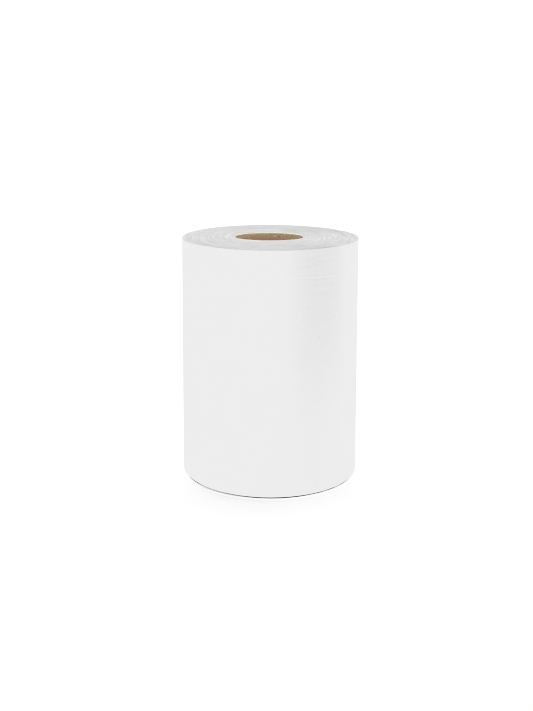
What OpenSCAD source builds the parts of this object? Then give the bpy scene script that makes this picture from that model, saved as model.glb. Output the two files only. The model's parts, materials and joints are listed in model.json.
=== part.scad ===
// Short backdrop paper roll: one long web of coated white paper wound on a
// spiral-wound paperboard core, with a free end (the tail) that lifts off.
//
// Frame: millimetres, +Z up along the core axis, origin on the axis in the
// plane of the core's lower end, so the roll stands on z = 0. The paper sits a
// little higher on the core, so the core is proud below and set back above.

/* [Roll] */
// Outside diameter of the wound roll
roll_d = 147; // [120:0.5:180]
// Width of the paper web, which is the height of the standing roll
roll_w = 200; // [150:1:300]
// Thickness of the paper
paper_t = 0.2; // [0.15:0.01:0.3]
// Angle of the free edge of the paper, counter-clockwise from +X
tail_edge_deg = 165; // [0:1:359]
// How far the web's lower edge stands above the core's lower end
web_lift = 0.7; // [0:0.1:1.5]
// How far the outer turns have wandered off the core's axis, along +X
off_axis = 0.9; // [0:0.1:1]

/* [Core] */
// Bore of the core
core_bore_d = 50.8; // [38:0.1:60]
// Thickness of the smooth liner ply that faces the bore
liner_ply_t = 0.4; // [0.3:0.05:0.5]
// Thickness of each of the four body plies
body_ply_t = 0.6; // [0.4:0.05:0.7]
// Thickness of the face ply that the paper is wound on
face_ply_t = 0.375; // [0.3:0.005:0.5]

/* [First turns] */
// Number of turns next to the core that have crept along it
first_turns = 7; // [4:1:12]
// How far those turns stand above the web's upper end face
first_creep = 1.1; // [0:0.1:2]

/* [Tail] */
// Arc of the last turn that lifts off, in degrees
tail_arc = 50; // [20:1:90]
// Gap between the closed tail and the turn under it
tail_gap = 0.02; // [0.01:0.01:0.05]

/* [Adhesive] */
// Thickness of the pick-up glue that holds the first turn to the core
pickup_t = 0.15; // [0.1:0.01:0.18]
// Width of the pick-up glue, measured round the core
pickup_w = 14; // [8:1:25]
// Distance from each end of the core to the pick-up glue
pickup_end = 8; // [4:1:20]
// Thickness of the dabs of tack that hold the tail down
tack_t = 0.12; // [0.08:0.01:0.15]
// Width of each dab round the roll
tack_w = 5; // [3:0.5:8]
// Length of each dab along the roll
tack_len = 16; // [8:1:24]
// Number of dabs
tack_count = 5; // [3:1:6]
// Distance from the free edge of the tail to the dabs
tack_inset = 5; // [3:0.5:10]

/* [Hidden] */
$fn = 240;

// Angle in degrees that an arc of the given length spans
function arc_deg(length, radius) = length / radius * 180 / PI;

// Outer radius of the core after n body plies
function ply_r(n) = bore_r + liner_ply_t + n * body_ply_t;

bore_r = core_bore_d / 2;
body_plies = 4;
core_r = ply_r(body_plies) + face_ply_t;
first_r = core_r + first_turns * paper_t;
web_z0 = web_lift;
web_z1 = web_lift + roll_w;

// The last turn follows a two-centre spiral: one half turn about [-step / 2, 0]
// and the next about [step / 2, 0], each half turn gaining half a sheet. Every
// face is then a true cylinder, and the free edge stands one sheet proud.
// half1_r and half2_r are the inner radii of the two halves.
step = paper_t / 2;
half1_r = roll_d / 2 - paper_t - step;
half2_r = half1_r + step;
tail_start_deg = 360 - tail_arc;

// Middle of the pick-up glue, counter-clockwise from +X
pickup_mid_deg = 90;

// Angles of the dabs in the winding's own frame, and their spacing along Z
tack_end_deg = 360 - arc_deg(tack_inset, half2_r);
tack_start_deg = tack_end_deg - arc_deg(tack_w, half2_r);
tack_pitch = roll_w / tack_count;

cut_over = 1;     // overshoot of cutting shapes past what they cut
glue_slack = 0.1; // room round the glue, in mm, or in degrees round the dabs
space_r = 2 * roll_d;      // reach of a half space
sector_r = 3 * roll_d;     // reach of a sector along its two sides
sector_mid_r = 1.5 * sector_r; // reach of a sector along its middle

kraft = [0.62, 0.53, 0.41];
kraft_dark = [0.55, 0.46, 0.35];
board = [0.58, 0.50, 0.40];
white_paper = [0.93, 0.93, 0.93];
white_edge = [0.86, 0.86, 0.86];
glue_clear = [0.88, 0.85, 0.76];

// ---- shapes ----

// A plain tube about the Z axis
module tube(r_in, r_out, z0, z1) {
    translate([0, 0, z0]) difference() {
        cylinder(r = r_out, h = z1 - z0);
        translate([0, 0, -cut_over]) cylinder(r = r_in, h = z1 - z0 + 2 * cut_over);
    }
}

// A sector of space about the Z axis, under 180 degrees wide
module sector(start_deg, end_deg, z0, z1) {
    mid_deg = (start_deg + end_deg) / 2;
    translate([0, 0, z0]) linear_extrude(height = z1 - z0)
        polygon([
            [0, 0],
            sector_r * [cos(start_deg), sin(start_deg)],
            sector_mid_r * [cos(mid_deg), sin(mid_deg)],
            sector_r * [cos(end_deg), sin(end_deg)]
        ]);
}

// A curved band of tube between two angles
module band(r_in, r_out, start_deg, end_deg, z0, z1) {
    intersection() {
        tube(r_in, r_out, z0, z1);
        sector(start_deg, end_deg, z0 - cut_over, z1 + cut_over);
    }
}

// Half space y > 0 (side = 1) or y < 0 (side = -1) over the full height
module half_space(side) {
    translate([-space_r, side > 0 ? 0 : -space_r, -cut_over])
        cube([2 * space_r, space_r, web_z1 + 2 * cut_over]);
}

// A solid disc over the full height of the web
module disc(r) { translate([0, 0, web_z0]) cylinder(r = r, h = roll_w); }

// Centres of the two half turns
module first_half() { translate([-step / 2, 0, 0]) children(); }
module second_half() { translate([step / 2, 0, 0]) children(); }

// Turns the winding's own frame, whose free edge is at angle 0, into place
module winding() { translate([off_axis, 0, 0]) rotate([0, 0, tail_edge_deg]) children(); }

// ---- core ----

module core_liner_ply() {
    color(kraft) tube(bore_r, ply_r(0), 0, roll_w);
}

module core_body_ply(n) {
    color(board) tube(ply_r(n - 1), ply_r(n), 0, roll_w);
}

module core_face_ply() {
    color(kraft_dark) tube(ply_r(body_plies), core_r, 0, roll_w);
}

// ---- adhesive ----

// The strip of pick-up glue, grown by slack round the core and along it
module pickup_strip(slack = 0) {
    half_deg = arc_deg(pickup_w / 2 + slack, core_r);
    band(core_r, core_r + pickup_t, pickup_mid_deg - half_deg, pickup_mid_deg + half_deg,
         pickup_end - slack, roll_w - pickup_end + slack);
}

module pickup_glue() {
    color(glue_clear) pickup_strip();
}

// The row of dabs under the tail, grown by slack at the sides and over outwards
module tack_dabs(slack = 0, over = 0) {
    half_len = tack_len / 2 + slack;
    winding() second_half()
        for (i = [0 : tack_count - 1])
            let (z = web_z0 + (i + 0.5) * tack_pitch)
                band(half2_r - tack_t, half2_r + over,
                     tack_start_deg - slack, tack_end_deg + slack,
                     z - half_len, z + half_len);
}

module tail_tack() {
    color(glue_clear) tack_dabs();
}

// ---- paper ----

// The crept turns next to the core, cleared for the pick-up glue
module first_turns_of_paper() {
    color(white_paper) difference() {
        tube(core_r, first_r, web_z0 + first_creep, web_z1 + first_creep);
        pickup_strip(glue_slack);
    }
}

// All the turns between the first ones and the last one, with the dabs let in
module wound_paper() {
    color(white_edge) difference() {
        winding() union() {
            first_half() intersection() {
                disc(half1_r);
                half_space(1);
            }
            second_half() intersection() {
                disc(half2_r);
                half_space(-1);
            }
        }
        translate([0, 0, -cut_over]) cylinder(r = first_r, h = web_z1 + 2 * cut_over);
        tack_dabs(glue_slack, cut_over);
    }
}

// The outermost turn, up to where the tail lifts
module last_turn_of_paper() {
    color(white_paper) winding() union() {
        first_half() intersection() {
            tube(half1_r, half1_r + paper_t, web_z0, web_z1);
            half_space(1);
        }
        // Two bands that overlap by one degree, as [start, end] angles
        second_half()
            for (arc = [[180, 270], [269, tail_start_deg]])
                band(half2_r, half2_r + paper_t, arc[0], arc[1], web_z0, web_z1);
    }
}

// The free end. It turns about its root line on the outer face of the roll.
module tail_flap() {
    color(white_paper) winding() second_half()
        band(half2_r + tail_gap, half2_r + paper_t, tail_start_deg, 360, web_z0, web_z1);
}

core_liner_ply();
core_body_ply(1);  // core_body_ply_1
core_body_ply(2);  // core_body_ply_2
core_body_ply(3);  // core_body_ply_3
core_body_ply(4);  // core_body_ply_4
core_face_ply();
pickup_glue();
first_turns_of_paper();
wound_paper();
last_turn_of_paper();
tail_tack();
tail_flap();
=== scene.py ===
import json
import math

import bpy
import numpy as np
from mathutils import Matrix, Vector

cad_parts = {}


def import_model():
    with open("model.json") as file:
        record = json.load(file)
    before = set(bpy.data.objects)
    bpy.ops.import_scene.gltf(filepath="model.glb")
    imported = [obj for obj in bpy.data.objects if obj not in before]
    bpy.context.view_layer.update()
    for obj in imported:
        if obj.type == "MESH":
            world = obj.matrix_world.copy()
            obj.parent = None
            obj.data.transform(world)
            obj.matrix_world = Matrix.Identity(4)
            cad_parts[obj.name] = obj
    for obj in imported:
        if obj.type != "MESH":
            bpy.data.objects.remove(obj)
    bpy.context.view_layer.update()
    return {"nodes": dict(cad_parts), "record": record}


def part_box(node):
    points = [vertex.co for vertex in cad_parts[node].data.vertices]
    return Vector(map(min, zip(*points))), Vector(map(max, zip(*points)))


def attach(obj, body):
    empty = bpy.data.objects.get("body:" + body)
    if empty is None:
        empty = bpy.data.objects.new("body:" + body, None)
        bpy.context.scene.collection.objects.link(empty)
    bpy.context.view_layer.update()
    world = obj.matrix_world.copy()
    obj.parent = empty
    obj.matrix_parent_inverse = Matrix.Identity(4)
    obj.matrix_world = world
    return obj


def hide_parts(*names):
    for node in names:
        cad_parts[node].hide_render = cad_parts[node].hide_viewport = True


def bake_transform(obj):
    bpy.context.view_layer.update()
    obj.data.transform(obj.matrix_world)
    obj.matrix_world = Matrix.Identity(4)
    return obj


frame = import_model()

# ---------------------------------------------------------------------------
# Sizes, all from the frame. Lengths below are in millimetres until a mesh is made.
# ---------------------------------------------------------------------------
MM = 0.001
NODES = frame["nodes"]


def outer_r(node, off=0.0):
    """Largest radius of a CAD node, in mm, about an axis off mm from the core's along +X."""
    co = np.array([v.co for v in NODES[node].data.vertices], float) / MM
    return float(np.hypot(co[:, 0] - off, co[:, 1]).max())


def z_span(node):
    lo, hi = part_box(node)
    return lo.z / MM, hi.z / MM


mounts = {m["name"]: m for m in frame["record"]["mounts"]}
BORE_R = float(mounts["core_bore"]["dims"]["r_mm"])
PLIES = ["core_liner_ply", "core_body_ply_1", "core_body_ply_2", "core_body_ply_3",
         "core_body_ply_4", "core_face_ply"]
PLY_R = [BORE_R] + [outer_r(n) for n in PLIES]
CORE_R = PLY_R[-1]
FIRST_R = outer_r("first_turns_of_paper")
CZ0, CZ1 = z_span("core_liner_ply")
Z0, Z1 = z_span("wound_paper")
LIP0, LIP1 = z_span("first_turns_of_paper")
PAPER = 0.2                       # sheet
STEP = PAPER / 2                  # offset between the centres of the two half turns
EDGE_DEG = 165.0                  # free edge of the paper
ARC_DEG = 50.0                    # arc of the tail
OFF_AXIS = round(sum(v.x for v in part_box("wound_paper")) / 2 / MM - STEP / 2, 1)   # winding's centre, along +X
HALF2_R = round(outer_r("tail_flap", OFF_AXIS) - PAPER - STEP / 2, 2)   # inside face of the last half turn
HALF1_R = HALF2_R - STEP


def winding_point(a_deg, off):
    """A point of the two-centre spiral at winding angle a (0 at the free edge, 360 one turn on),
    off mm outside the face that the last turn lies on."""
    a = np.radians(a_deg)
    second = a_deg > 180.0
    cx = np.where(second, STEP / 2, -STEP / 2)
    r = np.where(second, HALF2_R, HALF1_R) + off
    x, y = cx + r * np.cos(a), r * np.sin(a)
    e = math.radians(EDGE_DEG)
    return OFF_AXIS + x * math.cos(e) - y * math.sin(e), x * math.sin(e) + y * math.cos(e)


# ---------------------------------------------------------------------------
# Mesh helpers
# ---------------------------------------------------------------------------
def smoothstep(a, b, x):
    t = np.clip((x - a) / (b - a), 0.0, 1.0)
    return t * t * (3 - 2 * t)


def make_mesh(name, co, quads, coords=None, sharp_deg=35.0):
    """A mesh object from points in mm and quads. coords is a per-point texture coordinate in mm."""
    co = np.asarray(co, float)
    quads = np.asarray(quads, np.int64)
    a, b, c, d = (co[quads[:, k]] for k in range(4))
    volume = (np.einsum("ij,ij->i", a, np.cross(b, c)) + np.einsum("ij,ij->i", a, np.cross(c, d))).sum()
    if volume < 0:
        quads = quads[:, ::-1]
    me = bpy.data.meshes.new(name)
    me.vertices.add(len(co))
    me.vertices.foreach_set("co", (co * MM).astype(np.float32).ravel())
    me.loops.add(quads.size)
    me.loops.foreach_set("vertex_index", quads.astype(np.int32).ravel())
    me.polygons.add(len(quads))
    me.polygons.foreach_set("loop_start", np.arange(0, quads.size, 4, dtype=np.int32))
    me.polygons.foreach_set("use_smooth", np.ones(len(quads), bool))
    me.update(calc_edges=True)
    me.validate()
    if coords is not None:
        att = me.attributes.new("strip_mm", "FLOAT_VECTOR", "POINT")
        att.data.foreach_set("vector", np.asarray(coords, np.float32).ravel())
    me.set_sharp_from_angle(angle=math.radians(sharp_deg))
    ob = bpy.data.objects.new(name, me)
    bpy.context.scene.collection.objects.link(ob)
    return ob


def ring_solid(name, P, coords=None, sharp_deg=35.0):
    """Closed solid from P[column, profile point]: both directions wrap."""
    n, m = P.shape[:2]
    i, j = np.meshgrid(np.arange(n), np.arange(m), indexing="ij")
    i2, j2 = (i + 1) % n, (j + 1) % m
    quads = np.stack([i * m + j, i2 * m + j, i2 * m + j2, i * m + j2], -1).reshape(-1, 4)
    return make_mesh(name, P.reshape(-1, 3), quads,
                     None if coords is None else coords.reshape(-1, 3), sharp_deg)


def sheet_solid(name, outer, inner, coords=None, sharp_deg=35.0):
    """Closed thin solid between two grids [column, row], with its four edges closed."""
    n, k = outer.shape[:2]
    co = np.concatenate([outer.reshape(-1, 3), inner.reshape(-1, 3)])
    o = np.arange(n * k).reshape(n, k)
    q = o + n * k
    quads = [
        np.stack([o[:-1, :-1], o[1:, :-1], o[1:, 1:], o[:-1, 1:]], -1).reshape(-1, 4),
        np.stack([q[:-1, :-1], q[:-1, 1:], q[1:, 1:], q[1:, :-1]], -1).reshape(-1, 4),
        np.stack([o[:-1, 0], q[:-1, 0], q[1:, 0], o[1:, 0]], -1),
        np.stack([o[:-1, -1], o[1:, -1], q[1:, -1], q[:-1, -1]], -1),
        np.stack([o[0, :-1], o[0, 1:], q[0, 1:], q[0, :-1]], -1),
        np.stack([o[-1, :-1], q[-1, :-1], q[-1, 1:], o[-1, 1:]], -1),
    ]
    c = None if coords is None else np.concatenate([coords.reshape(-1, 3)] * 2)
    return make_mesh(name, co, np.concatenate(quads), c, sharp_deg)


def waves(seed, n, wavelength, m_max, decay=1.0):
    """Random smooth field f(radius or height in mm, angle in rad), periodic in angle, unit deviation."""
    rng = np.random.default_rng(seed)
    lam = np.exp(rng.uniform(math.log(wavelength[0]), math.log(wavelength[1]), n))
    m = rng.integers(-m_max, m_max + 1, n)
    ph = rng.uniform(0, 2 * math.pi, n)
    amp = lam ** decay / (1 + np.abs(m))
    amp /= math.sqrt((amp ** 2).sum() / 2)

    def f(t, ang):
        out = np.zeros(np.broadcast(t, ang).shape)
        for L, M, P, A in zip(lam, m, ph, amp):
            out += A * np.cos(2 * math.pi * t / L + M * ang + P)
        return out
    return f


# ---------------------------------------------------------------------------
# Materials
# ---------------------------------------------------------------------------
class Tree:
    """Small wrapper that adds shader nodes and links them."""

    def __init__(self, name):
        self.mat = bpy.data.materials.new(name)
        self.mat.use_nodes = True
        self.t = self.mat.node_tree
        self.t.nodes.clear()

    def add(self, kind, ins=None, **props):
        n = self.t.nodes.new("ShaderNode" + kind)
        for k, v in props.items():
            setattr(n, k, v)
        for k, v in (ins or {}).items():
            s = n.inputs[k]
            if isinstance(v, bpy.types.NodeSocket):
                self.t.links.new(v, s)
            else:
                s.default_value = v
        return n

    def math(self, op, a, b=None, c=None, clamp=False):
        n = self.add("Math", operation=op, use_clamp=clamp)
        for k, v in enumerate((a, b, c)):
            if v is None:
                continue
            if isinstance(v, bpy.types.NodeSocket):
                self.t.links.new(v, n.inputs[k])
            else:
                n.inputs[k].default_value = v
        return n.outputs[0]

    def vec(self, x, y, z):
        n = self.add("CombineXYZ")
        for k, v in enumerate((x, y, z)):
            if isinstance(v, bpy.types.NodeSocket):
                self.t.links.new(v, n.inputs[k])
            else:
                n.inputs[k].default_value = v
        return n.outputs[0]

    def noise(self, vector, scale, detail=2.0, rough=0.5):
        n = self.add("TexNoise", {"Vector": vector, "Scale": scale, "Detail": detail, "Roughness": rough})
        return n.outputs["Fac"]

    def ramp(self, fac, stops, ease="LINEAR"):
        n = self.add("ValToRGB", {"Fac": fac})
        cr = n.color_ramp
        cr.interpolation = ease
        while len(cr.elements) < len(stops):
            cr.elements.new(0.5)
        for e, (p, c) in zip(cr.elements, stops):
            e.position = p
            e.color = (*c, 1.0) if len(c) == 3 else c
        return n.outputs["Color"]

    def mix(self, fac, a, b, blend="MIX"):
        n = self.add("Mix", data_type="RGBA", blend_type=blend)
        for k, v in (("Factor", fac), ("A", a), ("B", b)):
            s = [x for x in n.inputs if x.name == k and (x.type == "RGBA" or k == "Factor" and x.type == "VALUE")][0]
            if isinstance(v, bpy.types.NodeSocket):
                self.t.links.new(v, s)
            else:
                s.default_value = v if k == "Factor" else (*v, 1.0)
        return [x for x in n.outputs if x.type == "RGBA"][0]

    def scaled(self, color, fac):
        """Colour times a factor socket."""
        n = self.add("VectorMath", operation="SCALE")
        self.t.links.new(color, n.inputs[0])
        self.t.links.new(fac, n.inputs["Scale"])
        return n.outputs[0]

    def bump(self, height, distance_mm, strength=1.0, normal=None):
        ins = {"Height": height, "Distance": distance_mm * MM, "Strength": strength}
        if normal is not None:
            ins["Normal"] = normal
        return self.add("Bump", ins).outputs[0]

    def out(self, **ins):
        bsdf = self.add("BsdfPrincipled", ins)
        self.add("OutputMaterial", {"Surface": bsdf.outputs[0]})
        return bsdf


def strip_coords(t):
    """The piece's own flat coordinate in mm: along the web, and across it."""
    a = t.add("Attribute", attribute_name="strip_mm", attribute_type="GEOMETRY")
    return a.outputs["Vector"]


def object_mm(t):
    c = t.add("TexCoord").outputs["Object"]
    n = t.add("VectorMath", {0: c}, operation="SCALE")
    n.inputs["Scale"].default_value = 1000.0
    return n.outputs[0]


PAPER_ALBEDO = (0.7085, 0.7074, 0.7085)
SHEEN = 0.0930            # share of the face's light that comes off it like off a dull mirror
EDGE_ALBEDO = (0.630, 0.6292, 0.6295)


def face_look(t, vec):
    """Coated paper face: colour, roughness and bump sockets from a coordinate in mm."""
    sep = t.add("SeparateXYZ", {0: vec})
    mottle = t.noise(vec, 0.045, 3.0, 0.55)
    formation = t.noise(vec, 0.55, 2.0, 0.6)
    grain = t.noise(vec, 1.15, 3.0, 0.65)
    lev = t.math("MULTIPLY_ADD", mottle, 0.012, 0.994)
    lev = t.math("MULTIPLY_ADD", t.math("SUBTRACT", formation, 0.5), 0.006, lev)
    col = t.scaled(t.add("RGB").outputs[0], lev)
    rgb = [n for n in t.t.nodes if n.type == "RGB"][-1]
    rgb.outputs[0].default_value = (*PAPER_ALBEDO, 1)
    # sparse specks of dust, one in a few cells
    vor = t.add("TexVoronoi", {"Vector": vec, "Scale": 0.085, "Randomness": 1.0})
    pick = t.add("SeparateColor", {0: vor.outputs["Color"]})
    chosen = t.math("GREATER_THAN", pick.outputs[0], 0.80)
    size = t.math("MULTIPLY_ADD", pick.outputs[1], 0.018, 0.016)
    speck = t.math("MULTIPLY", t.math("LESS_THAN", vor.outputs["Distance"], size), chosen)
    dark = t.math("MULTIPLY", speck, t.math("MULTIPLY_ADD", pick.outputs[2], 0.25, 0.12))
    col = t.scaled(col, t.math("SUBTRACT", 1.0, dark))
    # long faint machine-direction streaks with the grain on top
    streak = t.noise(t.vec(t.math("MULTIPLY", sep.outputs[0], 0.015), sep.outputs[1], 0.0), 0.8, 2.0, 0.5)
    cross = t.noise(t.vec(sep.outputs[0], t.math("MULTIPLY", sep.outputs[1], 0.012), 5.0), 0.35, 2.0, 0.5)
    h = t.math("MULTIPLY_ADD", streak, 0.6, t.math("MULTIPLY", cross, 0.5))
    h = t.math("MULTIPLY_ADD", grain, 0.55, h)
    rough = t.math("MULTIPLY_ADD", t.noise(vec, 0.9, 3.0, 0.7), 0.08, 0.18)
    return col, rough, h


# thin raised lines left by winding: (height at the middle, world angle of the middle, half length deg,
# rise in mm per degree, half width mm, relief mm, change of the sheen)
LINES = [
    (192.5, -47.8, 14.0, -0.092, 0.36, 0.024, -0.28),
    (178.1, -59.0, 26.0, -0.042, 0.40, 0.036, -0.44),
    (174.6, -49.0, 18.0, -0.080, 0.34, 0.022, -0.27),
    (167.2, -65.4, 8.0, 0.045, 0.34, 0.020, -0.30),
    (163.0, -58.0, 11.0, 0.060, 0.36, 0.010, -0.17),
    (191.9, -69.5, 16.0, 0.189, 0.80, -0.018, 0.30),
    (186.3, -69.6, 15.0, 0.158, 0.80, -0.016, 0.26),
    (179.8, -54.0, 14.0, -0.030, 0.60, -0.010, 0.21),
    (176.2, -58.0, 12.0, -0.040, 0.60, -0.010, 0.25),
    (171.6, -55.0, 12.0, 0.060, 0.90, -0.010, 0.21),
    (164.6, -54.0, 10.0, 0.080, 0.90, -0.010, 0.18),
    (191.0, -55.0, 9.0, 0.090, 1.00, -0.010, 0.20),
]
# dust on the face of the last turn: (world angle in degrees, height in mm, radius in mm, how dark)
DUST = [
    (-52.6, 195.1, 0.25, 0.60), (-50.3, 185.2, 0.22, 0.40), (-60.0, 176.0, 0.24, 0.85), (-41.7, 176.9, 0.30, 0.45),
    (-58.1, 129.9, 0.36, 0.40), (-87.5, 121.2, 0.30, 0.42), (-86.2, 116.3, 0.20, 0.45), (-73.7, 109.2, 0.24, 0.65),
    (-89.8, 81.4, 0.26, 0.55), (-45.7, 61.0, 0.24, 0.50), (-51.4, 26.3, 0.24, 0.45), (-59.9, 7.4, 0.26, 0.95),
    (-131.2, 9.0, 0.26, 0.55), (-119.2, 26.8, 0.27, 0.45), (-149.9, 8.1, 0.26, 0.40), (-40.9, 8.4, 0.26, 0.50),
    (-98.0, 143.0, 0.20, 0.40), (-22.0, 128.0, 0.24, 0.45), (24.0, 66.0, 0.26, 0.50), (71.0, 151.0, 0.24, 0.50),
]


def dusty(t, vec, col):
    """Darkens the colour at each grain of dust."""
    worst = None
    for ang, z, r, dark in DUST:
        u = math.radians((ang - EDGE_DEG) % 360.0) * HALF2_R
        d = t.add("VectorMath", {0: vec, 1: (u, z, 0.0)}, operation="DISTANCE").outputs["Value"]
        m = t.add("MapRange", {"Value": d, "From Min": r * 1.25, "From Max": r * 0.6, "To Min": 0.0, "To Max": dark}
                  ).outputs[0]
        worst = m if worst is None else t.math("MAXIMUM", worst, m)
    return t.scaled(col, t.math("SUBTRACT", 1.0, worst))


# painted shade and painted light on the ends: (radius, its width, angle, its width, how dark; a negative amount
# paints light)
PAINTED_SHADE_AND_LIGHT = [
    (70.0, 3.4, -150.0, 17.0, 0.06), (70.0, 4.0, -122.0, 16.0, 0.03), (71.0, 2.4, -51.5, 11.0, 0.17),
    (68.0, 4.0, -66.0, 12.0, 0.08), (70.0, 5.0, -88.0, 14.0, 0.04), (62.0, 12.0, -50.0, 24.0, 0.045),
    (66.0, 6.0, 47.0, 20.0, 0.07), (70.0, 5.0, 25.0, 12.0, 0.05), (46.0, 18.0, 46.0, 32.0, 0.055),
    (56.0, 3.0, -147.0, 6.0, 0.06), (44.0, 12.0, -158.0, 16.0, 0.035), (63.4, 1.6, 11.5, 5.0, 0.16),
    (52.0, 2.2, 176.0, 7.0, 0.06), (46.0, 10.0, 101.0, 12.0, -0.05), (38.0, 6.0, -16.0, 12.0, -0.05),
    (33.0, 4.0, 90.0, 44.0, -0.055), (32.5, 3.0, -90.0, 34.0, -0.035), (42.0, 7.0, 150.0, 17.0, -0.05), (48.0, 7.0, -10.0, 16.0, -0.05),
    (38.0, 5.0, 70.0, 18.0, 0.035), (45.0, 6.0, -60.0, 10.0, 0.04),
    (34.5, 3.5, 178.0, 10.0, -0.06), (34.5, 3.5, -178.0, 10.0, -0.06),
]


def edge_look(t, vec):
    """Stacked cut edges of the paper on the roll's ends."""
    sep = t.add("SeparateXYZ", {0: vec})
    x, y = sep.outputs[0], sep.outputs[1]
    r = t.math("SQRT", t.math("ADD", t.math("MULTIPLY", x, x), t.math("MULTIPLY", y, y)))
    cx, cy = t.math("DIVIDE", x, r), t.math("DIVIDE", y, r)
    warp = t.noise(t.vec(t.math("MULTIPLY", r, 0.05), cx, cy), 1.6, 2.0, 0.5)
    rw = t.math("MULTIPLY_ADD", warp, 3.0, r)

    def rings(per_mm, around, seed):
        return t.noise(t.vec(t.math("MULTIPLY", rw, per_mm), t.math("MULTIPLY_ADD", cx, around, seed),
                             t.math("MULTIPLY", cy, around)), 1.0, 1.0, 0.5)
    broad = rings(0.16, 1.0, 3.0)
    bands = rings(0.66, 1.8, 11.0)
    lines = rings(1.15, 2.6, 63.0)
    close = rings(1.60, 3.2, 85.0)
    fine = rings(2.4, 5.0, 27.0)
    turns = rings(9.0, 6.0, 41.0)
    dust = t.noise(vec, 1.3, 3.0, 0.7)
    lev = t.math("MULTIPLY_ADD", t.math("SUBTRACT", broad, 0.5), 0.10, 1.0)
    lev = t.math("MULTIPLY_ADD", t.math("SUBTRACT", bands, 0.5), 0.20, lev)
    lev = t.math("MULTIPLY_ADD", t.math("SUBTRACT", lines, 0.5), 0.33, lev)
    lev = t.math("MULTIPLY_ADD", t.math("SUBTRACT", close, 0.5), 0.43, lev)
    lev = t.math("MULTIPLY_ADD", t.math("SUBTRACT", fine, 0.5), 0.25, lev)
    lev = t.math("MULTIPLY_ADD", t.math("SUBTRACT", dust, 0.5), 0.10, lev)
    # painted shade and painted light: the edges' colour is darkened in some patches and lightened in others
    xo = t.math("SUBTRACT", x, OFF_AXIS)
    ro = t.math("SQRT", t.math("ADD", t.math("MULTIPLY", xo, xo), t.math("MULTIPLY", y, y)))
    ang = t.math("MULTIPLY", t.math("ARCTAN2", y, xo), 180 / math.pi)
    for r0, wr, a0, wa, amount in PAINTED_SHADE_AND_LIGHT:
        dr = t.math("DIVIDE", t.math("SUBTRACT", ro, r0), wr)
        da = t.math("DIVIDE", t.math("SUBTRACT", ang, a0), wa)
        q = t.math("ADD", t.math("MULTIPLY", dr, dr), t.math("MULTIPLY", da, da))
        g = t.math("EXPONENT", t.math("MULTIPLY", q, -1.0))
        g = t.math("MULTIPLY", g, t.math("MULTIPLY_ADD", fine, 0.8, 0.6))
        lev = t.math("MULTIPLY", lev, t.math("MULTIPLY_ADD", g, -amount, 1.0))
    # painted shade: the ends are made darker where seen across the turns, as if the shaded gaps between them showed,
    # and a touch lighter where seen along them
    inc = t.add("SeparateXYZ", {0: t.add("NewGeometry").outputs["Incoming"]})
    dot = t.math("ADD", t.math("MULTIPLY", inc.outputs[0], cx), t.math("MULTIPLY", inc.outputs[1], cy))
    lev = t.math("MULTIPLY", lev, t.math("MULTIPLY_ADD", t.math("MULTIPLY", dot, dot), -0.055, 1.02))
    rgb = t.add("RGB")
    rgb.outputs[0].default_value = (*EDGE_ALBEDO, 1)
    col = t.scaled(rgb.outputs[0], lev)
    h = t.math("MULTIPLY_ADD", fine, 0.5, t.math("MULTIPLY", turns, 0.35))
    h = t.math("MULTIPLY_ADD", dust, 0.15, h)
    return col, h


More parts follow.
